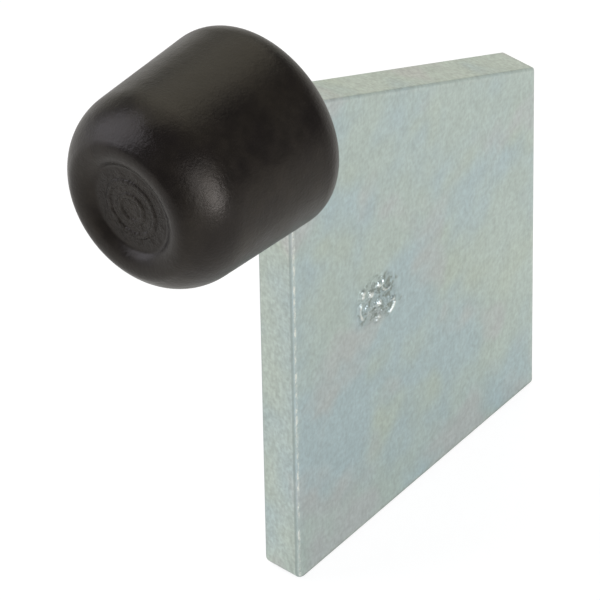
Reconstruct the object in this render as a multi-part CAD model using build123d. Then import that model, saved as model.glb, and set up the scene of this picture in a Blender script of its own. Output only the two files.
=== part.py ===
from build123d import *
import math
import os

# A weld-on gate stop: a steel plate, welded down by its foot, with a rubber buffer on its front edge.
# Millimetres. The origin is the middle of the plate's foot, +Z is up, and the buffer points to -X.

# Driving dimensions of the plate, cut from 90 x 10 flat bar that stands upright.
plate_width = 90.0
plate_thickness = 10.0
front_height = 147.0
back_height = 99.0
outline_corner = 1.0
toe_corner = 3.0
edge_rounding = 0.8

# The rough bright spot on the big face that looks to -Y: low round lobes, each as (x, z, radius, height).
spot_lobes = [
    (-15.0, 68.0, 6.3, 0.2),
    (-18.6, 71.6, 3.3, 0.35),
    (-17.6, 66.4, 4.0, 0.4),
    (-12.0, 71.0, 3.0, 0.35),
    (-10.6, 64.0, 3.0, 0.35),
]
spot_root = 0.3

# The buffer's axis leaves the front edge just under the top corner, and leans a little off square.
axis_below_corner = 4.0
lean_up_deg = 2.5
lean_side_deg = 1.8
standoff = 0.5

# Driving dimensions of the moulded rubber, along its own axis from its base.
buffer_length = 48.0
buffer_radius = 25.0
side_taper_deg = 2.1
base_rounding = 8.0
shoulder_rounding = 15.0
shoulder_reach = 50.0
end_rounding = 4.0
recess_depth = 1.9
recess_floor_radius = 10.9
recess_wall_deg = 45.0
recess_lip_rounding = 5.0
recess_floor_rounding = 1.4
floor_ring_radii = (3.4, 6.8)
floor_ring_bead = 1.5
floor_ring_height = 0.3

# Driving dimensions of the stud, its weld, and the bush that the rubber is moulded round.
stud_radius = 4.0
stud_engaged = 14.0
stud_chamfer = 0.8
weld_leg = 1.0
weld_root = 1.0
bush_radius = 8.0
bush_length = 18.0
flange_radius = 13.0
flange_thickness = 3.0
flange_rounding = 0.8
bore_depth = 15.5
bore_mouth_radius = 5.4
bore_mouth_depth = 1.2
drill_point_deg = 30.0


def stop_plate():
    """The plate: a rounded toe, eased corners except the one that carries the buffer, and all edges rounded."""
    half = plate_width / 2
    corners = [(-half, 0, 0), (half, 0, 0), (half, 0, back_height), (-half, 0, front_height)]
    outline = make_face(Polyline(*corners, close=True))
    toe = outline.vertices().sort_by(Axis.Z)[:2].sort_by(Axis.X)[0]
    outline = fillet(toe, toe_corner)
    outline = fillet(outline.vertices().sort_by(Axis.X)[-2:], outline_corner)
    plate = extrude(outline, plate_thickness / 2, both=True)
    faces = plate.faces().sort_by(Axis.Y)
    plate = fillet(faces[0].edges() + faces[-1].edges(), edge_rounding)
    return plate + rough_spot()


def rough_spot():
    """The raised spot on the big face: low overlapping domes, rooted in the plate."""
    face_y = -plate_thickness / 2
    tallest = max(height for x, z, radius, height in spot_lobes)
    depth = spot_root + tallest
    slab = Pos(0, face_y + spot_root - depth / 2, front_height / 2) * Box(plate_width, depth, front_height)
    domes = []
    for x, z, radius, height in spot_lobes:
        ball_radius = (radius ** 2 + height ** 2) / (2 * height)
        ball = Pos(x, face_y - height + ball_radius, z) * Sphere(ball_radius)
        domes.append(ball & slab)
    return domes


def buffer_frame():
    """The buffer's own frame: origin on the plate's front edge, +Z out along the leaning axis."""
    up = math.radians(lean_up_deg)
    side = math.radians(lean_side_deg)
    axis = (-math.cos(up) * math.cos(side), math.sin(side), math.sin(up) * math.cos(side))
    foot = (-plate_width / 2, 0, front_height - axis_below_corner)
    return Plane(origin=foot, x_dir=(0, 1, 0), z_dir=axis).location


def half_section(corners):
    """A closed half section in the XZ plane, from corners given as (radius, height)."""
    return make_face(Polyline(*[(radius, 0, height) for radius, height in corners], close=True))


def round_corner(face, corner, radius):
    """The half section with the corner nearest to (radius, height) rounded."""
    nearest = face.vertices().sort_by_distance((corner[0], 0, corner[1]))[0]
    return fillet(nearest, radius)


def turned(face):
    """A half section turned about its axis."""
    return revolve(face, Axis.Z)


def bush_section():
    """Half section of the bush without its bore: a hub, and an anchoring flange at its inner end."""
    inner_end = standoff + bush_length
    flange_face = inner_end - flange_thickness
    section = half_section([
        (0, standoff),
        (bush_radius, standoff),
        (bush_radius, flange_face),
        (flange_radius, flange_face),
        (flange_radius, inner_end),
        (0, inner_end),
    ])
    section = round_corner(section, (flange_radius, flange_face), flange_rounding)
    return round_corner(section, (flange_radius, inner_end), flange_rounding)


def bore_section():
    """Half section of the bush's blind bore: drilled to a point, with a wide mouth that clears the weld."""
    bottom = standoff + bore_depth
    drill_point = bottom + stud_radius * math.tan(math.radians(drill_point_deg))
    return half_section([
        (0, 0),
        (bore_mouth_radius, 0),
        (bore_mouth_radius, standoff),
        (stud_radius, standoff + bore_mouth_depth),
        (stud_radius, bottom),
        (0, drill_point),
    ])


def threaded_bush():
    """The steel bush inside the rubber, with its bore at the stud's nominal size."""
    return turned(bush_section() - bore_section())


def floor_ring(radius, floor):
    """Half section of one low moulded ring: a round bead whose crest stands out of the recess floor."""
    return Pos(radius, 0, floor + floor_ring_height - floor_ring_bead) * Rot(90, 0, 0) * Circle(floor_ring_bead)


def rubber_buffer():
    """The rubber, moulded round the bush: tapered side, big shoulders, flat end with a ringed recess."""
    end = standoff + buffer_length
    nose = standoff + shoulder_reach
    taper = math.tan(math.radians(side_taper_deg))
    base_corner = (buffer_radius + base_rounding * taper, standoff)
    nose_corner = (buffer_radius - (shoulder_reach - base_rounding) * taper, nose)
    section = half_section([(0, standoff), base_corner, nose_corner, (0, nose)])
    section = round_corner(section, base_corner, base_rounding)
    section = round_corner(section, nose_corner, shoulder_rounding)
    section -= half_section([(0, end), (buffer_radius, end), (buffer_radius, nose), (0, nose)])
    section = round_corner(section, (buffer_radius, nose), end_rounding)
    floor = end - recess_depth
    lip_radius = recess_floor_radius + recess_depth / math.tan(math.radians(recess_wall_deg))
    section -= half_section([(0, floor), (recess_floor_radius, floor), (lip_radius, end), (0, end)])
    section = round_corner(section, (recess_floor_radius, floor), recess_floor_rounding)
    section = round_corner(section, (lip_radius, end), recess_lip_rounding)
    for radius in floor_ring_radii:
        section += floor_ring(radius, floor)
    return turned(section - bush_section())


def buffer_stud():
    """The threaded stud at its nominal size, run into the plate until it is trimmed to the front edge."""
    end = standoff + stud_engaged
    rod = Pos(0, 0, (end - weld_root) / 2) * Cylinder(stud_radius, end + weld_root)
    return chamfer(rod.edges().sort_by(Axis.Z)[-1], stud_chamfer)


def stud_weld():
    """The fillet of weld metal round the stud's foot, before the plate and stud are taken out of it."""
    return turned(half_section([
        (0, -weld_root),
        (stud_radius + weld_leg, -weld_root),
        (stud_radius + weld_leg, 0),
        (stud_radius, weld_leg),
        (0, weld_leg),
    ]))


def below_corner():
    """The space below the rounding of the plate's top corner, where the weld stops."""
    reach = plate_thickness
    top = front_height - edge_rounding
    return Pos(-plate_width / 2, 0, top - reach) * Box(2 * reach, 2 * reach, 2 * reach)


def before_front_edge():
    """The space in front of the plate's front edge, where the stud starts."""
    reach = buffer_length
    return Pos(-plate_width / 2 - reach, 0, front_height) * Box(2 * reach, 2 * reach, 2 * reach)


def gate_stop():
    """Every piece in its place, under its own name."""
    frame = buffer_frame()
    plate = stop_plate()
    stud = frame * buffer_stud() & before_front_edge()
    weld = (frame * stud_weld() & below_corner()) - plate - stud
    return {
        "stop_plate": plate,
        "buffer_stud": stud,
        "stud_weld": weld,
        "threaded_bush": frame * threaded_bush(),
        "rubber_buffer": frame * rubber_buffer(),
    }


os.makedirs("parts", exist_ok=True)
for name, piece in gate_stop().items():
    export_step(piece, f"parts/{name}.step")
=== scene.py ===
import math
import bmesh
import bpy
from bpy.props import FloatProperty, FloatVectorProperty, IntProperty, PointerProperty
from mathutils import Matrix, Vector, noise


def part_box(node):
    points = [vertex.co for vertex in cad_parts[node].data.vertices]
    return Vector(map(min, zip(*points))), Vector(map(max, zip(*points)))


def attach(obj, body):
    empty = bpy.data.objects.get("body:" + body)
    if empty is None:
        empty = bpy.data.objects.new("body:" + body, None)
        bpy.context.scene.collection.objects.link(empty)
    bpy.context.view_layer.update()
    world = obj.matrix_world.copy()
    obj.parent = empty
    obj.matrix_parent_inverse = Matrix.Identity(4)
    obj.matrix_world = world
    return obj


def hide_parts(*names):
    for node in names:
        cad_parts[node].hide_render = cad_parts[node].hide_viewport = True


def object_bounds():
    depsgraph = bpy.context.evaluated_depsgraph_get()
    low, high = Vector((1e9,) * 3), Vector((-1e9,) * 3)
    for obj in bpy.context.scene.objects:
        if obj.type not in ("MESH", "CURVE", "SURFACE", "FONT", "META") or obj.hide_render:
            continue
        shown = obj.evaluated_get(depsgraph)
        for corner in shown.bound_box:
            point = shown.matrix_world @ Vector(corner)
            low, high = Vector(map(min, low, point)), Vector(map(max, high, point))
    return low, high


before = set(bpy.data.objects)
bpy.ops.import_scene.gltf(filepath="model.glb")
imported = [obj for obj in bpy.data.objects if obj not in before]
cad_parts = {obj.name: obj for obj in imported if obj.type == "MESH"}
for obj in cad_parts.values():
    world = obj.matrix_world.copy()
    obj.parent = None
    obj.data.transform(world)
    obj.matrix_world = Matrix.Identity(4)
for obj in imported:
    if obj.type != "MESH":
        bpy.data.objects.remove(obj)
CAD_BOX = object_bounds()

bl_info = {
    "name": "Weld-on gate stop",
    "version": (1, 0, 0),
    "blender": (4, 5, 0),
    "location": "3D View > Sidebar > Gate Stop",
    "description": "Finishes a zinc-plated gate stop with a moulded rubber buffer and sets its stage",
    "category": "Object",
}

BODY = "root"
PHOTO_SIDE = 600
MM = 0.001
WHITE = (1.0, 1.0, 1.0)

# Where the buffer's axis leaves the plate's front edge, and the degrees that it leans off square, as in the
# solids.
AXIS_FOOT = Vector((-0.045, 0.0, 0.143))
LEAN_UP = 2.5
LEAN_SIDE = 1.8

# The plate's outer faces, and the height of its back edge. On the side of the big face the plate's box
# reaches out to the spot's domes, so that face is taken from the plain one behind, which is as far from the
# middle.
PLATE_LOW, PLATE_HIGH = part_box("stop_plate")
FACE_Y = -PLATE_HIGH.y
FRONT_X, BACK_X = PLATE_LOW.x, PLATE_HIGH.x
FRONT_HEIGHT = PLATE_HIGH.z
BACK_HEIGHT = 0.099


def plain(name, text, default, **limits):
    """A number that a user may change."""
    return FloatProperty(name=name, description=text, default=default, **limits)


def length(name, text, default):
    """A length in metres that a user may change."""
    return FloatProperty(
        name=name, description=text, default=default, subtype="DISTANCE", unit="LENGTH", precision=5,
    )


def colour(name, text, default):
    """A linear colour that a user may change."""
    return FloatVectorProperty(
        name=name, description=text, default=default, subtype="COLOR", size=3, min=0.0, max=1.0,
    )


class GATESTOP_PG_plate(bpy.types.PropertyGroup):
    """Finish of the zinc-plated plate."""

    base: colour("Zinc", "Colour of the bright zinc plating", (0.548, 0.644, 0.616))
    cool: colour("Blue bloom", "Colour of the plating's bluish patches", (0.514, 0.632, 0.666))
    warm: colour("Straw bloom", "Colour of the plating's greenish straw patches", (0.564, 0.648, 0.588))
    rose: colour("Rose bloom", "Colour of the plating's faint rosy patches", (0.566, 0.616, 0.62))
    cut: colour("Cut edges", "Straw tint of the plating on the plate's cut narrow sides", (1.0, 0.975, 0.94))
    cut_grain: plain("Cut grain", "How far the grain shades the cut narrow sides", 0.045, min=0.0)
    roughness: plain("Roughness", "Roughness of the plating", 0.34, min=0.0, max=1.0)
    # Colour and patch size of the painted highlight along the plate's arrises.
    arris_highlight: colour("Highlight arris", "Colour of the rubbed arrises", (0.93, 0.98, 0.94))
    glint: length("Wear size", "Size of the rubbed places along the arrises", 0.0011)
    rounding: length("Rounding", "Rounding of the plate's edges, as in the solids", 0.0008)
    patch: length("Patch size", "Size of the bluish and straw patches", 0.024)
    grain: length("Grain size", "Size of the fine grain in the plating", 0.0007)
    relief: length("Grain relief", "Height of the fine grain in the plating", 0.000014)


class GATESTOP_PG_rubber(bpy.types.PropertyGroup):
    """Finish of the moulded rubber."""

    base: colour("Rubber", "Colour of the black rubber", (0.006, 0.0045, 0.0042))
    bloom: colour("Bloom", "Colour of the thin brownish bloom on the rubber", (0.0125, 0.01, 0.0075))
    roughness: plain("Roughness", "Roughness of the moulded skin", 0.29, min=0.0, max=1.0)
    specular: plain("Specular", "Specular level of the dull moulded skin", 0.32, min=0.0, max=1.0)
    sheen: colour("Tint", "Warm tint of the light that the skin mirrors", (1.0, 0.93, 0.85))
    grain: length("Grain size", "Size of the moulded skin's grain", 0.0007)
    relief: length("Grain relief", "Height of the moulded skin's grain", 0.000065)
    marks: length("Recess marks", "Height of the worn marks on the recess floor", 0.0007)
    turning: length("Turning pitch", "Spacing of the fine turning lines that the mould left", 0.0006)


class GATESTOP_PG_spot(bpy.types.PropertyGroup):
    """Size and finish of the rough spot."""

    cell: length("Cell", "Side of the mesh cells that carry the relief", 0.00013)
    root: length("Root", "How deep the spot is set into the plate's face", 0.0002)
    height: length("Height", "Height of the highest crests over the face", 0.0009)
    roughness: plain("Roughness", "Roughness of the spot's metal", 0.37, min=0.0, max=1.0)
    crest: colour("Crests", "Colour of the bright crests", (0.8, 0.85, 0.83))
    hollow: colour("Hollows", "Colour of the dull hollows", (0.3, 0.35, 0.33))


class GATESTOP_PG_stud(bpy.types.PropertyGroup):
    """Size of the threaded stud."""

    radius: length("Radius", "Radius over the thread's crests", 0.004)
    pitch: length("Pitch", "Pitch of the thread", 0.00125)
    depth: length("Thread depth", "Depth of the thread", 0.00068)
    length: length("Length", "Length of the stud from the plate's front edge", 0.0145)
    chamfer: length("Chamfer", "Chamfer of the stud's end", 0.0008)
    steps: IntProperty(name="Steps", description="Steps in one turn of the thread", default=40, min=12)


class GATESTOP_PG_steel(bpy.types.PropertyGroup):
    """Finish of the stud, the bush and the weld."""

    bright: colour("Bright steel", "Colour of the stud and the bush", (0.6, 0.61, 0.6))
    weld: colour("Weld metal", "Colour of the weld round the stud", (0.42, 0.42, 0.4))
    roughness: plain("Roughness", "Roughness of the stud and the bush", 0.34, min=0.0, max=1.0)


class GATESTOP_PG_stage(bpy.types.PropertyGroup):
    """Light, floor and camera."""

    world_level: plain("World level", "Strength of the even light from all round", 0.21, min=0.0)
    floor: colour("Floor", "Colour of the pale floor", (0.9, 0.9, 0.9))
    mirrored: colour("Mirrored floor", "Dimmer, warmer floor colour in reflections", (0.61, 0.6, 0.578))
    floor_glow: plain("Floor glow", "Even glow of the floor in reflections", 0.5, min=0.0)
    shadow_share: plain("Shadow share", "How much of its shading the camera sees", 0.3, min=0.0, max=1.0)
    floor_lift: plain("Floor lift", "White that the camera sees over that shading", 0.84, min=0.0, max=1.0)
    floor_side: length("Floor side", "Side of the square floor", 14.0)
    panel_distance: length("Panel distance", "Distance of the soft panels from the object", 1.5)
    camera_distance: length("Camera distance", "Distance from the camera to the buffer's foot", 1.7495)
    pixels_per_metre: plain("Scale", "Pixels of the photograph in a metre at the buffer's foot", 4469.2)


def node(tree, kind, values=(), **settings):
    """A new shader node, with its settings and the values of its unlinked inputs."""
    made = tree.nodes.new("ShaderNode" + kind)
    for key, value in settings.items():
        setattr(made, key, value)
    for key, value in dict(values).items():
        made.inputs[key].default_value = value
    return made


def opaque(rgb):
    """A colour with full alpha."""
    return (*rgb, 1.0)


def math_node(tree, operation, first, second=None, third=None):
    """A maths node; each operand is a socket or a number."""
    made = node(tree, "Math", operation=operation)
    for index, operand in enumerate((first, second, third)):
        if operand is None:
            continue
        if isinstance(operand, bpy.types.NodeSocket):
            tree.links.new(operand, made.inputs[index])
        else:
            made.inputs[index].default_value = operand
    return made.outputs[0]


def remap(tree, value, low, high, to_low=0.0, to_high=1.0):
    """A value mapped smoothly from one range to another."""
    made = node(tree, "MapRange", interpolation_type="SMOOTHSTEP")
    tree.links.new(value, made.inputs["Value"])
    for key, number in zip(("From Min", "From Max", "To Min", "To Max"), (low, high, to_low, to_high)):
        made.inputs[key].default_value = number
    return made.outputs["Result"]


def mix_colour(tree, factor, first, second, blend="MIX"):
    """Two colours mixed by a factor; each is a socket, a colour or a number."""
    made = node(tree, "Mix", data_type="RGBA", blend_type=blend)
    colours = [s for s in made.inputs if s.type == "RGBA"]
    for socket, value in zip((made.inputs[0], *colours), (factor, first, second)):
        if isinstance(value, bpy.types.NodeSocket):
            tree.links.new(value, socket)
        elif socket.type == "RGBA":
            socket.default_value = opaque(value)
        else:
            socket.default_value = value
    return next(s for s in made.outputs if s.type == "RGBA")


# The values between which a noise mostly stays.
NOISE_SPREAD = (0.3, 0.7)


def noise_field(tree, vector, scale, detail=2.0, rough=0.5, stretch=(1.0, 1.0, 1.0), shift=(0.0, 0.0, 0.0)):
    """A noise value over a surface; the scale is features in a metre, as a number or a socket.

    The stretch lengthens the features along each axis, and the shift keeps two fields from looking alike.
    """
    place = node(tree, "Mapping", {"Location": shift, "Scale": [1.0 / s for s in stretch]})
    tree.links.new(vector, place.inputs["Vector"])
    made = node(tree, "TexNoise", {"Detail": detail, "Roughness": rough})
    tree.links.new(place.outputs[0], made.inputs["Vector"])
    if isinstance(scale, bpy.types.NodeSocket):
        tree.links.new(scale, made.inputs["Scale"])
    else:
        made.inputs["Scale"].default_value = scale
    return made.outputs[0]


def new_group(name, inputs, outputs):
    """An empty shader node group with named inputs and outputs, and its two end nodes."""
    tree = bpy.data.node_groups.new(name, "ShaderNodeTree")
    for socket, kind, value in inputs:
        made = tree.interface.new_socket(name=socket, in_out="INPUT", socket_type="NodeSocket" + kind)
        if value is not None:
            made.default_value = value
    for socket, kind in outputs:
        tree.interface.new_socket(name=socket, in_out="OUTPUT", socket_type="NodeSocket" + kind)
    return tree, tree.nodes.new("NodeGroupInput"), tree.nodes.new("NodeGroupOutput")


def tinted(tree, tint, shade):
    """A colour made lighter or darker by a value."""
    toned = node(tree, "VectorMath", operation="SCALE")
    tree.links.new(tint, toned.inputs[0])
    tree.links.new(shade, toned.inputs["Scale"])
    return toned.outputs[0]


def dulled(tree, patchy, roughness, spread):
    """A roughness that a noise varies between the two ends of a spread about it."""
    return remap(tree, patchy, *NOISE_SPREAD, roughness + spread[0], roughness + spread[1])


# The plating's tints, named as the bloom's inputs and the plate's settings are, and the noise values between
# which each of them but the first comes in.
TINTS = ("Base", "Cool", "Warm", "Rose")
COOL_RANGE = (0.46, 0.68)
WARM_RANGE = (0.52, 0.74)
ROSE_RANGE = (0.54, 0.72)

# The broad bluish bloom low on the plate's big face: its middle, its reach, the share of the reach that is
# at full strength, and that strength. Then the heights between which the plating turns rosy towards the
# foot, and how strongly.
BLUE_HEART = (-0.014, FACE_Y, 0.04)
BLUE_REACH = 0.044
BLUE_CORE = 0.3
BLUE_PULL = 0.24
ROSY_FOOT = (0.03, 0.006)
ROSY_PULL = 0.14

# The noise values that count in the plating's fine grain, and what the colour is multiplied by at each. Then
# what the soft blotches multiply it by, and how many features they have in a metre for one of the grain's.
GRAIN_RANGE = (0.28, 0.72)
GRAIN_SHADE = (0.9, 1.09)
BLOTCH_SHADE = (0.96, 1.03)
BLOTCH_SCALE = 0.3


def bloom_group():
    """Plated zinc: soft bluish, straw and rosy patches, and a fine upright grain."""
    if "zinc_bloom" in bpy.data.node_groups:
        return bpy.data.node_groups["zinc_bloom"]
    colours = [(name, "Color", opaque((0.5, 0.5, 0.5))) for name in TINTS]
    tree, given, out = new_group(
        "zinc_bloom",
        [("Vector", "Vector", None), *colours, ("Patch", "Float", 0.02), ("Grain", "Float", 0.001)],
        [("Colour", "Color"), ("Height", "Float"), ("Mottle", "Float")],
    )
    place = given.outputs["Vector"]
    patches = math_node(tree, "DIVIDE", 1.0, given.outputs["Patch"])
    grains = math_node(tree, "DIVIDE", 1.0, given.outputs["Grain"])
    blotches = math_node(tree, "MULTIPLY", grains, BLOTCH_SCALE)
    blue = noise_field(tree, place, patches, 2.5, stretch=(1.0, 1.0, 1.3))
    away = node(tree, "VectorMath", {1: BLUE_HEART}, operation="DISTANCE")
    tree.links.new(place, away.inputs[0])
    heart = remap(tree, away.outputs["Value"], BLUE_REACH, BLUE_CORE * BLUE_REACH, 0.0, BLUE_PULL)
    blue = math_node(tree, "ADD", blue, heart)
    straw = noise_field(tree, place, patches, 2.0, stretch=(1.0, 1.0, 1.1), shift=(0.31, 0.17, 0.23))
    rosy = noise_field(tree, place, patches, 2.0, stretch=(0.8, 0.8, 0.9), shift=(0.53, 0.29, 0.71))
    parts = node(tree, "SeparateXYZ")
    tree.links.new(place, parts.inputs[0])
    rosy = math_node(tree, "ADD", rosy, remap(tree, parts.outputs["Z"], *ROSY_FOOT, 0.0, ROSY_PULL))
    tint = given.outputs["Base"]
    patched = zip((blue, straw, rosy), (COOL_RANGE, WARM_RANGE, ROSE_RANGE), TINTS[1:])
    for patchy, limits, name in patched:
        tint = mix_colour(tree, remap(tree, patchy, *limits), tint, given.outputs[name])
    grain = noise_field(tree, place, grains, 3.0, stretch=(1.0, 1.0, 2.6))
    speck = noise_field(tree, place, grains, 1.0, stretch=(1.6, 1.6, 1.6), shift=(0.11, 0.05, 0.07))
    blotch = noise_field(tree, place, blotches, 2.0, stretch=(1.0, 1.0, 1.6), shift=(0.37, 0.41, 0.13))
    fine = math_node(tree, "ADD", *(math_node(tree, "MULTIPLY", part, 0.5) for part in (grain, speck)))
    shade = math_node(
        tree, "MULTIPLY",
        remap(tree, fine, *GRAIN_RANGE, *GRAIN_SHADE),
        remap(tree, blotch, *NOISE_SPREAD, *BLOTCH_SHADE),
    )
    tree.links.new(tinted(tree, tint, shade), out.inputs["Colour"])
    tree.links.new(fine, out.inputs["Height"])
    tree.links.new(blue, out.inputs["Mottle"])
    return tree


def emptied(owner):
    """The node tree of a new material or world, without its first nodes."""
    owner.use_nodes = True
    owner.node_tree.nodes.clear()
    return owner.node_tree


def new_material(name):
    """A material with only its output node and a Principled shader, as (material, tree, shader)."""
    made = bpy.data.materials.new(name)
    tree = emptied(made)
    shader = node(tree, "BsdfPrincipled")
    out = node(tree, "OutputMaterial")
    tree.links.new(shader.outputs[0], out.inputs["Surface"])
    return made, tree, shader


def bump(tree, height, distance, shader):
    """A bump of a height in metres on a shader's normal."""
    made = node(tree, "Bump", {"Strength": 1.0, "Distance": distance})
    tree.links.new(height, made.inputs["Height"])
    tree.links.new(made.outputs[0], shader.inputs["Normal"])


# The plate's four straight edges: the direction inwards across the big face, a point on the edge, how strong
# the painted highlight on its arris is beside the big face, and how strong the painted shade on its rounding
# is towards the narrow side.
SLOPE = Vector((FRONT_HEIGHT - BACK_HEIGHT, 0.0, BACK_X - FRONT_X)).normalized()
ARRISES = (
    (Vector((1.0, 0.0, 0.0)), Vector((FRONT_X, 0.0, 0.0)), 1.0, 0.55),
    (Vector((-1.0, 0.0, 0.0)), Vector((BACK_X, 0.0, 0.0)), 0.15, 0.18),
    (Vector((0.0, 0.0, 1.0)), Vector((FRONT_X, 0.0, 0.0)), 0.2, 0.18),
    (-SLOPE, Vector((FRONT_X, 0.0, FRONT_HEIGHT)), 0.1, 0.0),
)

# Where the painted highlights and the painted shade on the arrises lie. The turns are how far the surface
# looks to the big face's side, from 0 on a narrow side to 1 on the big face, and the reaches are distances
# from the edge, in roundings. The last two are the noise values between which the painted highlight comes in,
# and how strong it is where it doesn't.
BRIGHT_TURN = (0.8, 0.95)
DARK_TURN_IN, DARK_TURN_OUT = (0.02, 0.3), (0.9, 0.6)
CUT_TURN = (0.4, 0.1)
BRIGHT_REACH_IN, BRIGHT_REACH_OUT = (0.45, 0.9), (2.0, 1.2)
DARK_REACH = (1.2, 0.8)
HIGHLIGHT_RANGE = (0.43, 0.62)
HIGHLIGHT_LEAST = 0.12

# The heights between which painted shade darkens the rounding under the foot, how dark the painted shade is
# against the plating, how much smoother the plating is where the arris highlight is painted, and how far the
# bloom varies the roughness.
FOOT_SHADE_HEIGHTS = (1.5 * MM, 0.3 * MM)
PAINTED_SHADE_TONE = 0.6
HIGHLIGHT_SMOOTHER = 0.14
ZINC_SPREAD = (-0.04, 0.04)


def arris_group():
    """Painted highlight in patches on the arrises by the big face; painted shade by the narrow side and foot.
    """
    if "arris" in bpy.data.node_groups:
        return bpy.data.node_groups["arris"]
    places = [(name, "Vector", None) for name in ("Normal", "Vector")]
    tree, given, out = new_group(
        "arris",
        [*places, ("Glint", "Float", 0.001), ("Rounding", "Float", 0.001)],
        [("Bright", "Float"), ("Dark", "Float")],
    )
    parts = node(tree, "SeparateXYZ")
    tree.links.new(given.outputs["Normal"], parts.inputs[0])
    turn = math_node(tree, "ABSOLUTE", parts.outputs["Y"])
    beside_face = remap(tree, turn, *BRIGHT_TURN)
    starts, ends = remap(tree, turn, *DARK_TURN_IN), remap(tree, turn, *DARK_TURN_OUT)
    beside_side = math_node(tree, "MULTIPLY", starts, ends)
    glint = math_node(tree, "DIVIDE", 1.0, given.outputs["Glint"])
    patchy = noise_field(tree, given.outputs["Vector"], glint, 4.0, 0.65, stretch=(1.0, 1.0, 1.6))
    # Painted highlight beside the big face, broken into patches by noise.
    highlighted = math_node(tree, "MULTIPLY", beside_face, remap(tree, patchy, *HIGHLIGHT_RANGE, HIGHLIGHT_LEAST, 1.0))
    bright = dark = 0.0
    # Each arris adds its share of painted highlight, and of painted shade (dull) towards the narrow side.
    for inward, start, highlight_share, dull in ARRISES:
        reach = node(tree, "VectorMath", {1: inward}, operation="DOT_PRODUCT")
        tree.links.new(given.outputs["Vector"], reach.inputs[0])
        inside = math_node(tree, "SUBTRACT", reach.outputs["Value"], inward.dot(start))
        share = math_node(tree, "DIVIDE", inside, given.outputs["Rounding"])
        starts, ends = remap(tree, share, *BRIGHT_REACH_IN), remap(tree, share, *BRIGHT_REACH_OUT)
        line = math_node(tree, "MULTIPLY", starts, ends)
        near = remap(tree, share, *DARK_REACH)
        bright = math_node(tree, "MULTIPLY_ADD", line, highlight_share, bright)
        dark = math_node(tree, "MULTIPLY_ADD", near, dull, dark)
    place = node(tree, "SeparateXYZ")
    tree.links.new(given.outputs["Vector"], place.inputs[0])
    # Painted shade on the rounding under the foot.
    under = remap(tree, place.outputs["Z"], *FOOT_SHADE_HEIGHTS)
    dark = math_node(tree, "MULTIPLY", beside_side, dark)
    tree.links.new(math_node(tree, "MULTIPLY", highlighted, bright), out.inputs["Bright"])
    tree.links.new(math_node(tree, "MAXIMUM", dark, under), out.inputs["Dark"])
    return tree


def plated(tree, place, finish):
    """The bloom of the zinc plating with its values set, as a node."""
    bloom = node(tree, "Group", {"Patch": finish.patch, "Grain": finish.grain}, node_tree=bloom_group())
    tree.links.new(place, bloom.inputs["Vector"])
    for name in TINTS:
        bloom.inputs[name].default_value = opaque(getattr(finish, name.lower()))
    return bloom


def zinc_material(finish):
    """Zinc-plated steel with its bloom, grain, and painted highlights and shade on its arrises."""
    made, tree, shader = new_material("zinc_plating")
    place = node(tree, "TexCoord")
    bloom = plated(tree, place.outputs["Object"], finish)
    arris = node(tree, "Group", {"Glint": finish.glint, "Rounding": finish.rounding}, node_tree=arris_group())
    tree.links.new(place.outputs["Normal"], arris.inputs["Normal"])
    tree.links.new(place.outputs["Object"], arris.inputs["Vector"])
    parts = node(tree, "SeparateXYZ")
    tree.links.new(place.outputs["Normal"], parts.inputs[0])
    on_cut = remap(tree, math_node(tree, "ABSOLUTE", parts.outputs["Y"]), *CUT_TURN)
    shades = (1.0 - finish.cut_grain, 1.0 + finish.cut_grain)
    coarse = remap(tree, bloom.outputs["Height"], *GRAIN_RANGE, *shades)
    straw = mix_colour(tree, 1.0, bloom.outputs["Colour"], tuple(finish.cut), "MULTIPLY")
    straw = tinted(tree, straw, coarse)
    shade = mix_colour(tree, on_cut, bloom.outputs["Colour"], straw)
    # Painted shade on the arrises' roundings towards the narrow sides and under the foot.
    shade = mix_colour(tree, arris.outputs["Dark"], shade, tuple(PAINTED_SHADE_TONE * v for v in finish.base))
    # Painted highlight along the arrises.
    shade = mix_colour(tree, arris.outputs["Bright"], shade, tuple(finish.arris_highlight))
    tree.links.new(shade, shader.inputs["Base Color"])
    shader.inputs["Metallic"].default_value = 1.0
    dull = dulled(tree, bloom.outputs["Mottle"], finish.roughness, ZINC_SPREAD)
    dull = math_node(tree, "MULTIPLY_ADD", arris.outputs["Bright"], -HIGHLIGHT_SMOOTHER, dull)
    tree.links.new(dull, shader.inputs["Roughness"])
    bump(tree, bloom.outputs["Height"], finish.relief, shader)
    return made


# Sizes of the rubber's brownish clouds, of its smaller mottle and of the worn marks in its recess, in metres.
CLOUD_SIZE = 0.012
MOTTLE_SIZE = 0.0035
WORN_SIZE = 0.0023
# The noise values between which a cloud comes in, and what the mottle multiplies the colour by. Then how far
# each varies the roughness, and the heights of the mottle and the turning lines against the grain's.
CLOUD_RANGE = (0.35, 0.7)
MOTTLE_SHADE = (0.85, 1.2)
CLOUD_SPREAD = (-0.03, 0.05)
MOTTLE_DULLS = 0.06
MOTTLE_HEIGHT = 1.5
TURNING_HEIGHT = 0.35
# Where the floor of the recess is in the buffer's own frame: the radii between which the marks come in
# towards its axis, and the distances along the axis between which the end begins.
FLOOR_RADII = (11.0 * MM, 8.5 * MM)
FLOOR_STARTS = (40.0 * MM, 42.0 * MM)
# Turning lines run round the buffer, so they are many times longer across its axis than along it.
ROUND_THE_AXIS = (40.0, 40.0, 1.0)


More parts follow.
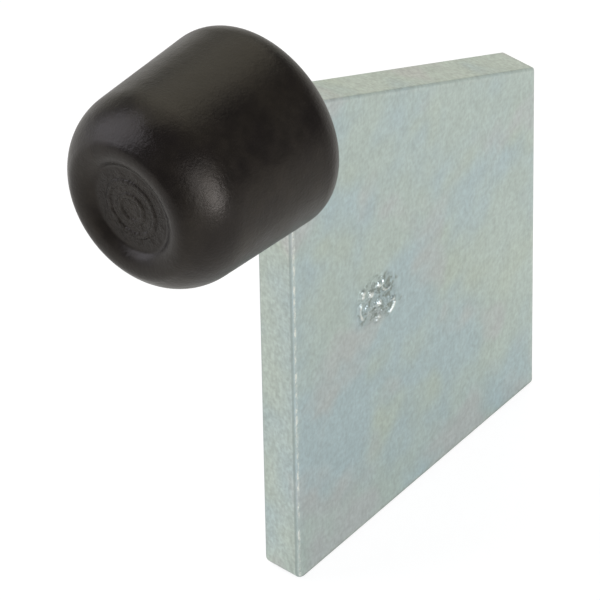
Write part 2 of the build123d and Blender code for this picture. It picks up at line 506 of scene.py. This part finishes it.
def rubber_material(finish):
    """Moulded black rubber: a satin skin with a fine grain, faint turning lines and a thin brownish bloom."""
    made, tree, shader = new_material("moulded_rubber")
    place = node(tree, "TexCoord").outputs["Object"]
    cloud = noise_field(tree, place, 1.0 / CLOUD_SIZE, 3.0, 0.6)
    mottle = noise_field(tree, place, 1.0 / MOTTLE_SIZE, 2.0, 0.6, shift=(0.2, 0.4, 0.1))
    grain = noise_field(tree, place, 1.0 / finish.grain, 3.0, 0.6)
    own = buffer_place().inverted()
    across = node(tree, "Mapping", {"Location": own.translation, "Rotation": own.to_euler()})
    tree.links.new(place, across.inputs["Vector"])
    turning = noise_field(tree, across.outputs[0], 1.0 / finish.turning, 3.0, 0.6, stretch=ROUND_THE_AXIS)
    tone = mix_colour(tree, remap(tree, cloud, *CLOUD_RANGE), tuple(finish.base), tuple(finish.bloom))
    tone = tinted(tree, tone, remap(tree, mottle, *NOISE_SPREAD, *MOTTLE_SHADE))
    tree.links.new(tone, shader.inputs["Base Color"])
    shader.inputs["Specular IOR Level"].default_value = finish.specular
    shader.inputs["Specular Tint"].default_value = opaque(finish.sheen)
    dull = dulled(tree, cloud, finish.roughness, CLOUD_SPREAD)
    tree.links.new(math_node(tree, "MULTIPLY_ADD", mottle, MOTTLE_DULLS, dull), shader.inputs["Roughness"])
    skin = math_node(tree, "MULTIPLY_ADD", mottle, MOTTLE_HEIGHT, grain)
    skin = math_node(tree, "MULTIPLY_ADD", turning, TURNING_HEIGHT, skin)
    on_floor = recess_floor(tree, across.outputs[0])
    worn = noise_field(tree, place, 1.0 / WORN_SIZE, 3.0, 0.7, shift=(0.6, 0.3, 0.8))
    deep = finish.marks / finish.relief
    worn = math_node(tree, "MULTIPLY_ADD", worn, deep, -deep / 2)
    worn = math_node(tree, "MULTIPLY", on_floor, worn)
    bump(tree, math_node(tree, "ADD", skin, worn), finish.relief, shader)
    return made


def recess_floor(tree, own):
    """A mask of the floor of the buffer's end recess, from a place in the buffer's own frame."""
    parts = node(tree, "SeparateXYZ")
    tree.links.new(own, parts.inputs[0])
    wide = math_node(tree, "MULTIPLY", parts.outputs["Y"], parts.outputs["Y"])
    wide = math_node(tree, "MULTIPLY_ADD", parts.outputs["X"], parts.outputs["X"], wide)
    inside = remap(tree, math_node(tree, "SQRT", wide), *FLOOR_RADII)
    return math_node(tree, "MULTIPLY", inside, remap(tree, parts.outputs["Z"], *FLOOR_STARTS))


# Size and relief of the grain in plain steel, how dark its hollows are, and how far it varies the roughness.
STEEL_GRAIN = 0.0009
STEEL_RELIEF = 0.000006
STEEL_HOLLOW = 0.8
STEEL_SPREAD = (-0.05, 0.08)


def steel_material(name, base, roughness):
    """Plain steel with a light grain along it."""
    made, tree, shader = new_material(name)
    place = node(tree, "TexCoord").outputs["Object"]
    grain = noise_field(tree, place, 1.0 / STEEL_GRAIN, 3.0, 0.6, stretch=(4.0, 1.0, 1.0))
    dark = tuple(STEEL_HOLLOW * channel for channel in base)
    tree.links.new(mix_colour(tree, grain, dark, tuple(base)), shader.inputs["Base Color"])
    shader.inputs["Metallic"].default_value = 1.0
    tree.links.new(dulled(tree, grain, roughness, STEEL_SPREAD), shader.inputs["Roughness"])
    bump(tree, grain, STEEL_RELIEF, shader)
    return made


# Sizes of the spot's grain and of its dull scale, and the relief of the grain, in metres.
CAST_GRAIN = 0.0006
CAST_SCALE = 0.0014
CAST_RELIEF = 0.00002
# The shares of the spot's height between which it turns rough, and between which its crests turn bright. Then
# the noise values between which its dull scale comes in, and how much of that scale is on all of it.
ROUGH_FROM = (0.02, 0.3)
CREST_FROM = (0.5, 0.85)
SCALE_RANGE = (0.52, 0.4)
SCALE_LEAST = 0.25


def spot_material(finish, spot):
    """The rough spot: plating that turns to brighter crests and duller hollows as it rises from the face."""
    made, tree, shader = new_material("rough_zinc")
    place = node(tree, "TexCoord").outputs["Object"]
    bloom = plated(tree, place, finish)
    parts = node(tree, "SeparateXYZ")
    tree.links.new(place, parts.inputs[0])
    raised = math_node(tree, "MULTIPLY_ADD", parts.outputs["Y"], -1.0 / spot.height, FACE_Y / spot.height)
    grain = noise_field(tree, place, 1.0 / CAST_GRAIN, 3.0, 0.6)
    scale = noise_field(tree, place, 1.0 / CAST_SCALE, 2.0, 0.6, shift=(0.2, 0.1, 0.3))
    rough_part = remap(tree, raised, *ROUGH_FROM)
    cast = mix_colour(tree, SCALE_LEAST, bloom.outputs["Colour"], tuple(spot.hollow))
    cast = mix_colour(tree, remap(tree, scale, *SCALE_RANGE), cast, tuple(spot.hollow))
    cast = mix_colour(tree, remap(tree, raised, *CREST_FROM), cast, tuple(spot.crest))
    tree.links.new(mix_colour(tree, rough_part, bloom.outputs["Colour"], cast), shader.inputs["Base Color"])
    shader.inputs["Metallic"].default_value = 1.0
    dullness = remap(tree, rough_part, 0.0, 1.0, finish.roughness, spot.roughness)
    tree.links.new(dullness, shader.inputs["Roughness"])
    bump(tree, grain, CAST_RELIEF, shader)
    return made


# The relief of the rough spot on the big face, in degrees and in millimetres from the plate's foot and
# middle. Its outline is an oval that is turned and wanders. The lobes are the low domes of the solids, which
# the relief covers, as (x, z, radius, height), and the raised drops are given in the same way. Raised rims
# are (x, z, radius, width, height, first and last angle), and grooves are the same, with depths.
SPOT_CENTRE = (-14.2, 68.6)
SPOT_RADII = (10.4, 7.8)
SPOT_TURN = 138.0
SPOT_LOBES = (
    (-15.0, 68.0, 6.3, 0.2),
    (-18.6, 71.6, 3.3, 0.35),
    (-17.6, 66.4, 4.0, 0.4),
    (-12.0, 71.0, 3.0, 0.35),
    (-10.6, 64.0, 3.0, 0.35),
)
SPOT_DROPS = (
    (-19.9, 73.8, 1.1, 0.6),
    (-20.1, 72.8, 0.9, 0.5),
    (-17.0, 71.7, 0.95, 0.55),
    (-14.1, 72.5, 0.95, 0.55),
    (-14.1, 67.1, 1.0, 0.6),
    (-14.3, 62.8, 0.9, 0.65),
    (-14.8, 62.0, 0.8, 0.55),
    (-8.8, 64.8, 0.8, 0.45),
    (-6.3, 63.3, 1.0, 0.3),
    (-11.7, 74.1, 1.1, 0.2),
    (-7.9, 69.9, 1.2, 0.2),
)
SPOT_RIMS = (
    (-16.4, 68.6, 4.7, 0.9, 0.6, 140.0, 228.0),
    (-13.2, 65.6, 5.2, 0.9, 0.55, -70.0, -8.0),
    (-11.0, 71.4, 2.0, 0.5, 0.2, 0.0, 360.0),
    (-15.5, 70.2, 5.6, 0.6, 0.15, 60.0, 170.0),
)
SPOT_GROOVES = (
    (-11.0, 71.4, 0.9, 0.6, 0.3, 0.0, 360.0),
    (-17.6, 66.6, 3.0, 0.6, 0.15, 20.0, 330.0),
    (-13.2, 65.6, 4.0, 0.6, 0.2, -80.0, 30.0),
    (-9.5, 79.5, 7.6, 0.5, 0.2, 180.0, 235.0),
)

# The spot's skin. Its layers of noise are (height, features in a millimetre, where in the noise they are
# read). The grid that carries the relief reaches past the oval by the margin, and the steepness says how
# soon the relief is full inside it. A drop's foot is wider than its radius, and a groove stays off what is
# raised by its limit or more. The cover lifts the skin clear of the domes and dips it into the face outside
# the spot, where all that is buried deeper than the last number is deleted.
SPOT_MARGIN = 1.12
SPOT_WANDER = (0.2, 0.4, 0.0)
SPOT_CREASES = (0.3, 0.9, 3.0)
SPOT_GRIT = ((0.12, 1.9, 7.0), (0.1, 3.7, 5.0))
SPOT_STEEP = 2.2
SPOT_RISE = 0.03
DROP_FOOT = 1.4
GROOVE_LIMIT = 0.1
SPOT_COVER = 0.05
SPOT_DIP = 0.6
SPOT_BURIED = 0.02


def bell(distance, width):
    """A smooth bump that is 1 at its middle and 0 beyond its width."""
    return (1.0 - min(1.0, abs(distance) / width) ** 2) ** 2


def drop_bell(x, z, drop):
    """Height of a raised drop at a place."""
    drop_x, drop_z, radius, height = drop
    return height * bell(math.hypot(x - drop_x, z - drop_z), DROP_FOOT * radius)


def arc_bell(x, z, arc):
    """How near a place is to an arc, from 1 on it to 0 beside it and at its ends, times the arc's height."""
    arc_x, arc_z, radius, width, height, first, last = arc
    share = ((math.degrees(math.atan2(z - arc_z, x - arc_x)) - first) % 360.0) / (last - first)
    if share > 1.0:
        return 0.0
    fade = 1.0 if last - first >= 360.0 else min(1.0, 4.0 * share, 4.0 * (1.0 - share))
    return fade * height * bell(math.hypot(x - arc_x, z - arc_z) - radius, width)


def dome(x, z, lobe):
    """Height of a low round lobe at a place, on the ball that it is cut from."""
    lobe_x, lobe_z, radius, height = lobe
    ball = (radius ** 2 + height ** 2) / (2 * height)
    away = math.hypot(x - lobe_x, z - lobe_z)
    return math.sqrt(max(0.0, ball ** 2 - away ** 2)) - ball + height if away < radius else 0.0


def layer(x, z, height, pitch, place):
    """One layer of noise at a place on the face."""
    return height * noise.noise(Vector((x * pitch, place, z * pitch)))


def spot_relief(x, z):
    """Height of the rough spot over the face at a place on it, all in millimetres."""
    turn = Matrix.Rotation(math.radians(-SPOT_TURN), 2)
    along = turn @ (Vector((x, z)) - Vector(SPOT_CENTRE))
    away = math.hypot(along.x / SPOT_RADII[0], along.y / SPOT_RADII[1])
    away += layer(x, z, *SPOT_WANDER)
    under = max(dome(x, z, lobe) for lobe in SPOT_LOBES)
    raised = max(drop_bell(x, z, drop) for drop in SPOT_DROPS)
    raised = max(raised, *(arc_bell(x, z, rim) for rim in SPOT_RIMS))
    sunk = max(arc_bell(x, z, groove) for groove in SPOT_GROOVES)
    creased = abs(layer(x, z, *SPOT_CREASES))
    grit = sum(layer(x, z, *part) for part in SPOT_GRIT)
    fill = max(0.0, min(1.0, (1.0 - away) * SPOT_STEEP))
    skin = raised + creased + grit + SPOT_RISE - sunk * (raised < GROOVE_LIMIT)
    rise = max(raised, fill * max(0.0, skin))
    cover = max(fill, min(1.0, max(under, raised) / SPOT_COVER))
    return under + rise + SPOT_COVER * ((1.0 + SPOT_DIP) * cover - SPOT_DIP)


def add_piece(name, shape, material):
    """A finished piece that rides with the stop, from a bmesh in the stop's own place."""
    bmesh.ops.recalc_face_normals(shape, faces=shape.faces)
    data = bpy.data.meshes.new(name)
    shape.to_mesh(data)
    shape.free()
    for face in data.polygons:
        face.use_smooth = True
    data.materials.append(material)
    made = bpy.data.objects.new(name, data)
    bpy.context.scene.collection.objects.link(made)
    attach(made, BODY)
    return made


def buffer_place():
    """The buffer's own frame in the stop: origin on the plate's front edge, Z out along the leaning axis."""
    up, side = math.radians(LEAN_UP), math.radians(LEAN_SIDE)
    axis = Vector((-math.cos(up) * math.cos(side), math.sin(side), math.sin(up) * math.cos(side)))
    across = (Vector((0, 1, 0)) - axis * axis.y).normalized()
    turn = Matrix((across, axis.cross(across), axis)).transposed().to_4x4()
    return Matrix.Translation(AXIS_FOOT) @ turn


def dress(name, material):
    """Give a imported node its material."""
    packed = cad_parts[name]
    for index in range(len(packed.material_slots)):
        packed.material_slots[index].material = material


class GATESTOP_OT_plate(bpy.types.Operator):
    """Finish the steel plate in mottled bright zinc"""

    bl_idname = "gatestop.plate"
    bl_label = "Plate"

    def execute(self, context):
        dress("stop_plate", zinc_material(context.scene.gatestop_plate))
        return {"FINISHED"}


class GATESTOP_OT_rubber(bpy.types.Operator):
    """Finish the rubber buffer in moulded black rubber"""

    bl_idname = "gatestop.rubber"
    bl_label = "Rubber buffer"

    def execute(self, context):
        dress("rubber_buffer", rubber_material(context.scene.gatestop_rubber))
        return {"FINISHED"}


# How much duller the weld is than the stud and the bush.
WELD_DULLER = 0.15


class GATESTOP_OT_fixing(bpy.types.Operator):
    """Finish the stud's weld and the bush inside the rubber"""

    bl_idname = "gatestop.fixing"
    bl_label = "Weld and bush"

    def execute(self, context):
        finish = context.scene.gatestop_steel
        dress("threaded_bush", steel_material("bush_steel_bright", finish.bright, finish.roughness))
        dress("stud_weld", steel_material("weld_metal", finish.weld, finish.roughness + WELD_DULLER))
        return {"FINISHED"}


class GATESTOP_OT_spot(bpy.types.Operator):
    """Model the rough spot on the plate's big face"""

    bl_idname = "gatestop.spot"
    bl_label = "Rough spot"

    def execute(self, context):
        finish, spot = context.scene.gatestop_plate, context.scene.gatestop_spot
        reach = SPOT_MARGIN * max(SPOT_RADII)
        cells = round(2 * reach * MM / spot.cell)
        shape = bmesh.new()
        bmesh.ops.create_grid(shape, x_segments=cells, y_segments=cells, size=reach)
        for vertex in shape.verts:
            x, z = vertex.co.x + SPOT_CENTRE[0], vertex.co.y + SPOT_CENTRE[1]
            vertex.co = (x * MM, FACE_Y - spot_relief(x, z) * MM, z * MM)
        buried = [f for f in shape.faces if all(v.co.y > FACE_Y + SPOT_BURIED * MM for v in f.verts)]
        bmesh.ops.delete(shape, geom=buried, context="FACES")
        below = bmesh.ops.extrude_face_region(shape, geom=shape.faces[:])
        for vertex in (v for v in below["geom"] if isinstance(v, bmesh.types.BMVert)):
            vertex.co.y = FACE_Y + spot.root
        add_piece("rough_spot", shape, spot_material(finish, spot))
        return {"FINISHED"}


# Turns of the thread that start before the plate's front edge, and all the turns that are spare, which the
# planes cut off. Then how near two corners of neighbouring turns are when they are merged.
TURNS_BEFORE = 2
TURNS_SPARE = 3
MERGED_WITHIN = 0.02 * MM
# Where the thread's profile turns, in eighths of its pitch: the end of its root, and both ends of its crest.
ROOT_END, CREST_START, CREST_END = 2, 4.5, 5.5


class GATESTOP_OT_stud(bpy.types.Operator):
    """Model the threaded stud that the buffer is screwed on"""

    bl_idname = "gatestop.stud"
    bl_label = "Threaded stud"

    def execute(self, context):
        stud, finish = context.scene.gatestop_stud, context.scene.gatestop_steel
        shape = bmesh.new()
        core = stud.radius - stud.depth
        eighth = stud.pitch / 8
        crest = ((stud.radius, CREST_START * eighth), (stud.radius, CREST_END * eighth))
        profile = ((core, 0.0), (core, ROOT_END * eighth), *crest, (core, stud.pitch))
        start = TURNS_BEFORE * stud.pitch
        corners = [shape.verts.new((radius, 0.0, height - start)) for radius, height in profile]
        edges = [shape.edges.new(pair) for pair in zip(corners, corners[1:])]
        turns = math.ceil(stud.length / stud.pitch) + TURNS_SPARE
        bmesh.ops.spin(
            shape, geom=corners + edges, cent=(0, 0, 0), axis=(0, 0, 1), dvec=(0, 0, stud.pitch / stud.steps),
            angle=turns * 2 * math.pi, steps=turns * stud.steps, use_merge=False, use_duplicate=False,
        )
        bmesh.ops.remove_doubles(shape, verts=shape.verts, dist=MERGED_WITHIN)
        cut_off(shape, (0, 0, stud.length), (0, 0, 1))
        for vertex in shape.verts:
            reach = math.hypot(vertex.co.x, vertex.co.y)
            limit = stud.radius - stud.chamfer + (stud.length - vertex.co.z)
            if reach > limit:
                vertex.co.xy *= limit / reach
        bmesh.ops.transform(shape, matrix=buffer_place(), verts=shape.verts)
        cut_off(shape, (FRONT_X, 0, 0), (1, 0, 0))
        steel = steel_material("stud_steel_bright", finish.bright, finish.roughness)
        made = add_piece("threaded_stud", shape, steel)
        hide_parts("buffer_stud")
        return {"FINISHED"}


def cut_off(shape, place, outwards):
    """Cut away what lies beyond a plane, and close the opening with one flat face."""
    geometry = shape.verts[:] + shape.edges[:] + shape.faces[:]
    cut = bmesh.ops.bisect_plane(shape, geom=geometry, plane_co=place, plane_no=outwards, clear_outer=True)
    rim = [e for e in cut["geom_cut"] if isinstance(e, bmesh.types.BMEdge)]
    bmesh.ops.edgeloop_fill(shape, edges=rim)


# The soft panels: name, azimuth and elevation that they light from, width and height, all in degrees,
# brightness and colour. Azimuth 0 is in front of the big face and 90 beyond the back edge.
PANELS = (
    ("face_panel", -20.0, 25.0, 46.0, 42.0, 2.0, (0.98, 0.98, 1.0)),
    ("core_panel", -13.0, 13.5, 21.0, 23.0, 5.9, (0.97, 0.965, 1.0)),
    ("front_panel", -150.0, 29.0, 44.0, 52.0, 2.5, (0.86, 0.87, 1.0)),
    ("back_panel", 130.0, 42.0, 38.0, 36.0, 1.15, (1.0, 0.97, 0.8)),
    ("top_panel", 140.0, 68.0, 60.0, 28.0, 0.8, (1.0, 0.97, 0.82)),
    ("horizon_panel", 135.0, 7.0, 70.0, 24.0, 0.44, (1.0, 0.97, 0.8)),
    ("side_panel", 76.0, 6.0, 44.0, 20.0, 0.5, (1.0, 0.97, 0.9)),
)

# How the camera looks, in degrees: its heading from the X axis, the angle that it looks down by and its roll.
# Then the photograph's pixel of the buffer's foot, where the buffer's axis leaves the plate's front edge.
CAMERA_HEADING = 40.092
CAMERA_DOWN = 41.714
CAMERA_ROLL = -1.103
AIM_PIXEL = (271.04, 111.48)


def view_direction(azimuth, elevation):
    """The direction from the object towards a viewer or lamp at an azimuth and elevation in degrees."""
    a, e = math.radians(azimuth), math.radians(elevation)
    return Vector((math.sin(a) * math.cos(e), -math.cos(a) * math.cos(e), math.sin(e)))


def add_panel(name, azimuth, elevation, width, height, level, tint, distance, centre):
    """A soft rectangular lamp that faces the object; its level is its brightness as the object sees it."""
    lamp = bpy.data.lights.new(name, "AREA")
    lamp.shape = "RECTANGLE"
    lamp.size = 2 * distance * math.tan(math.radians(width / 2))
    lamp.size_y = 2 * distance * math.tan(math.radians(height / 2))
    lamp.energy = math.pi * lamp.size * lamp.size_y * level
    lamp.color = tint
    made = bpy.data.objects.new(name, lamp)
    towards = view_direction(azimuth, elevation)
    made.location = centre + towards * distance
    made.rotation_euler = towards.to_track_quat("Z", "Y").to_euler()
    bpy.context.scene.collection.objects.link(made)


def set_world(level):
    """White for the camera, and an even plain level for everything else."""
    world = bpy.data.worlds.new("studio")
    bpy.context.scene.world = world
    tree = emptied(world)
    path = node(tree, "LightPath")
    even = node(tree, "Background", {"Color": opaque(WHITE), "Strength": level})
    white = node(tree, "Background", {"Color": opaque(WHITE), "Strength": 1.0})
    choice = node(tree, "MixShader")
    out = node(tree, "OutputWorld")
    tree.links.new(path.outputs["Is Camera Ray"], choice.inputs["Fac"])
    tree.links.new(even.outputs[0], choice.inputs[1])
    tree.links.new(white.outputs[0], choice.inputs[2])
    tree.links.new(choice.outputs[0], out.inputs["Surface"])


def floor_material(stage):
    """A pale floor: the camera sees it lifted to white, with a soft shadow, and reflections see it dimmer."""
    made = bpy.data.materials.new("pale_floor")
    tree = emptied(made)
    path = node(tree, "LightPath")
    mirrored = math_node(tree, "MAXIMUM", path.outputs["Is Glossy Ray"], path.outputs["Is Transmission Ray"])
    seen = mix_colour(tree, mirrored, tuple(stage.floor), tuple(stage.mirrored))
    dimmed = tuple(stage.shadow_share * channel for channel in stage.floor)
    lit = node(tree, "BsdfDiffuse")
    tree.links.new(mix_colour(tree, path.outputs["Is Camera Ray"], seen, dimmed), lit.inputs["Color"])
    lift = node(tree, "Emission")
    tree.links.new(mix_colour(tree, mirrored, WHITE, tuple(stage.mirrored)), lift.inputs["Color"])
    glow = math_node(tree, "MULTIPLY", path.outputs["Is Camera Ray"], stage.floor_lift)
    glow = math_node(tree, "MULTIPLY_ADD", mirrored, stage.floor_glow, glow)
    tree.links.new(glow, lift.inputs["Strength"])
    both = node(tree, "AddShader")
    out = node(tree, "OutputMaterial")
    tree.links.new(lit.outputs[0], both.inputs[0])
    tree.links.new(lift.outputs[0], both.inputs[1])
    tree.links.new(both.outputs[0], out.inputs["Surface"])
    return made


def add_floor(side, material):
    """The floor: a square sheet whose top is level with the plate's foot."""
    shape = bmesh.new()
    bmesh.ops.create_grid(shape, x_segments=8, y_segments=8, size=side / 2)
    data = bpy.data.meshes.new("floor")
    shape.to_mesh(data)
    shape.free()
    data.materials.append(material)
    made = bpy.data.objects.new("floor", data)
    bpy.context.scene.collection.objects.link(made)


def add_camera(distance, pixels_per_metre):
    """The camera at the photograph's angle, placed so that the aim point falls on its pixel."""
    heading, down, roll = (math.radians(v) for v in (CAMERA_HEADING, CAMERA_DOWN, CAMERA_ROLL))
    forward = Vector((
        math.cos(heading) * math.cos(down), math.sin(heading) * math.cos(down), -math.sin(down),
    ))
    level_right = forward.cross(Vector((0, 0, 1))).normalized()
    level_up = level_right.cross(forward)
    right = level_right * math.cos(roll) + level_up * math.sin(roll)
    up = level_up * math.cos(roll) - level_right * math.sin(roll)
    across = (AIM_PIXEL[0] - PHOTO_SIDE / 2) / pixels_per_metre
    below = (AIM_PIXEL[1] - PHOTO_SIDE / 2) / pixels_per_metre
    data = bpy.data.cameras.new("camera")
    data.sensor_width = 36.0
    data.lens = pixels_per_metre * distance / PHOTO_SIDE * data.sensor_width
    data.clip_start = 0.05
    data.clip_end = 50.0
    made = bpy.data.objects.new("camera", data)
    made.matrix_world = Matrix((right, up, -forward)).transposed().to_4x4()
    made.location = AXIS_FOOT - right * across + up * below - forward * distance
    bpy.context.scene.collection.objects.link(made)
    bpy.context.scene.camera = made


class GATESTOP_OT_stage(bpy.types.Operator):
    """Set the floor, the soft light and the camera"""

    bl_idname = "gatestop.stage"
    bl_label = "Stage"

    def execute(self, context):
        stage = context.scene.gatestop_stage
        centre = (CAD_BOX[0] + CAD_BOX[1]) / 2
        set_world(stage.world_level)
        add_floor(stage.floor_side, floor_material(stage))
        for panel in PANELS:
            add_panel(*panel, stage.panel_distance, centre)
        add_camera(stage.camera_distance, stage.pixels_per_metre)
        context.scene.view_settings.view_transform = "Standard"
        return {"FINISHED"}


OPERATORS = (
    GATESTOP_OT_plate,
    GATESTOP_OT_spot,
    GATESTOP_OT_rubber,
    GATESTOP_OT_stud,
    GATESTOP_OT_fixing,
    GATESTOP_OT_stage,
)
SETTINGS = {
    "gatestop_plate": GATESTOP_PG_plate,
    "gatestop_spot": GATESTOP_PG_spot,
    "gatestop_rubber": GATESTOP_PG_rubber,
    "gatestop_stud": GATESTOP_PG_stud,
    "gatestop_steel": GATESTOP_PG_steel,
    "gatestop_stage": GATESTOP_PG_stage,
}


class GATESTOP_PT_panel(bpy.types.Panel):
    """The gate stop's pieces and their settings"""

    bl_idname = "GATESTOP_PT_panel"
    bl_label = "Gate Stop"
    bl_space_type = "VIEW_3D"
    bl_region_type = "UI"
    bl_category = "Gate Stop"

    def draw(self, context):
        for operator in OPERATORS:
            self.layout.operator(operator.bl_idname)
        for setting, group in SETTINGS.items():
            box = self.layout.box()
            for name in group.__annotations__:
                box.prop(getattr(context.scene, setting), name)


def register():
    """Register the settings, the operators and the panel."""
    for made in (*SETTINGS.values(), *OPERATORS, GATESTOP_PT_panel):
        bpy.utils.register_class(made)
    for setting, group in SETTINGS.items():
        setattr(bpy.types.Scene, setting, PointerProperty(type=group))


def unregister():
    """Take everything away again, in the opposite order."""
    for setting in reversed(SETTINGS):
        delattr(bpy.types.Scene, setting)
    for made in reversed((*SETTINGS.values(), *OPERATORS, GATESTOP_PT_panel)):
        bpy.utils.unregister_class(made)


def main():
    """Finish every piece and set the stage."""
    register()
    bpy.ops.gatestop.plate()
    bpy.ops.gatestop.spot()
    bpy.ops.gatestop.rubber()
    bpy.ops.gatestop.stud()
    bpy.ops.gatestop.fixing()
    bpy.ops.gatestop.stage()


if __name__ == "__main__":
    main()
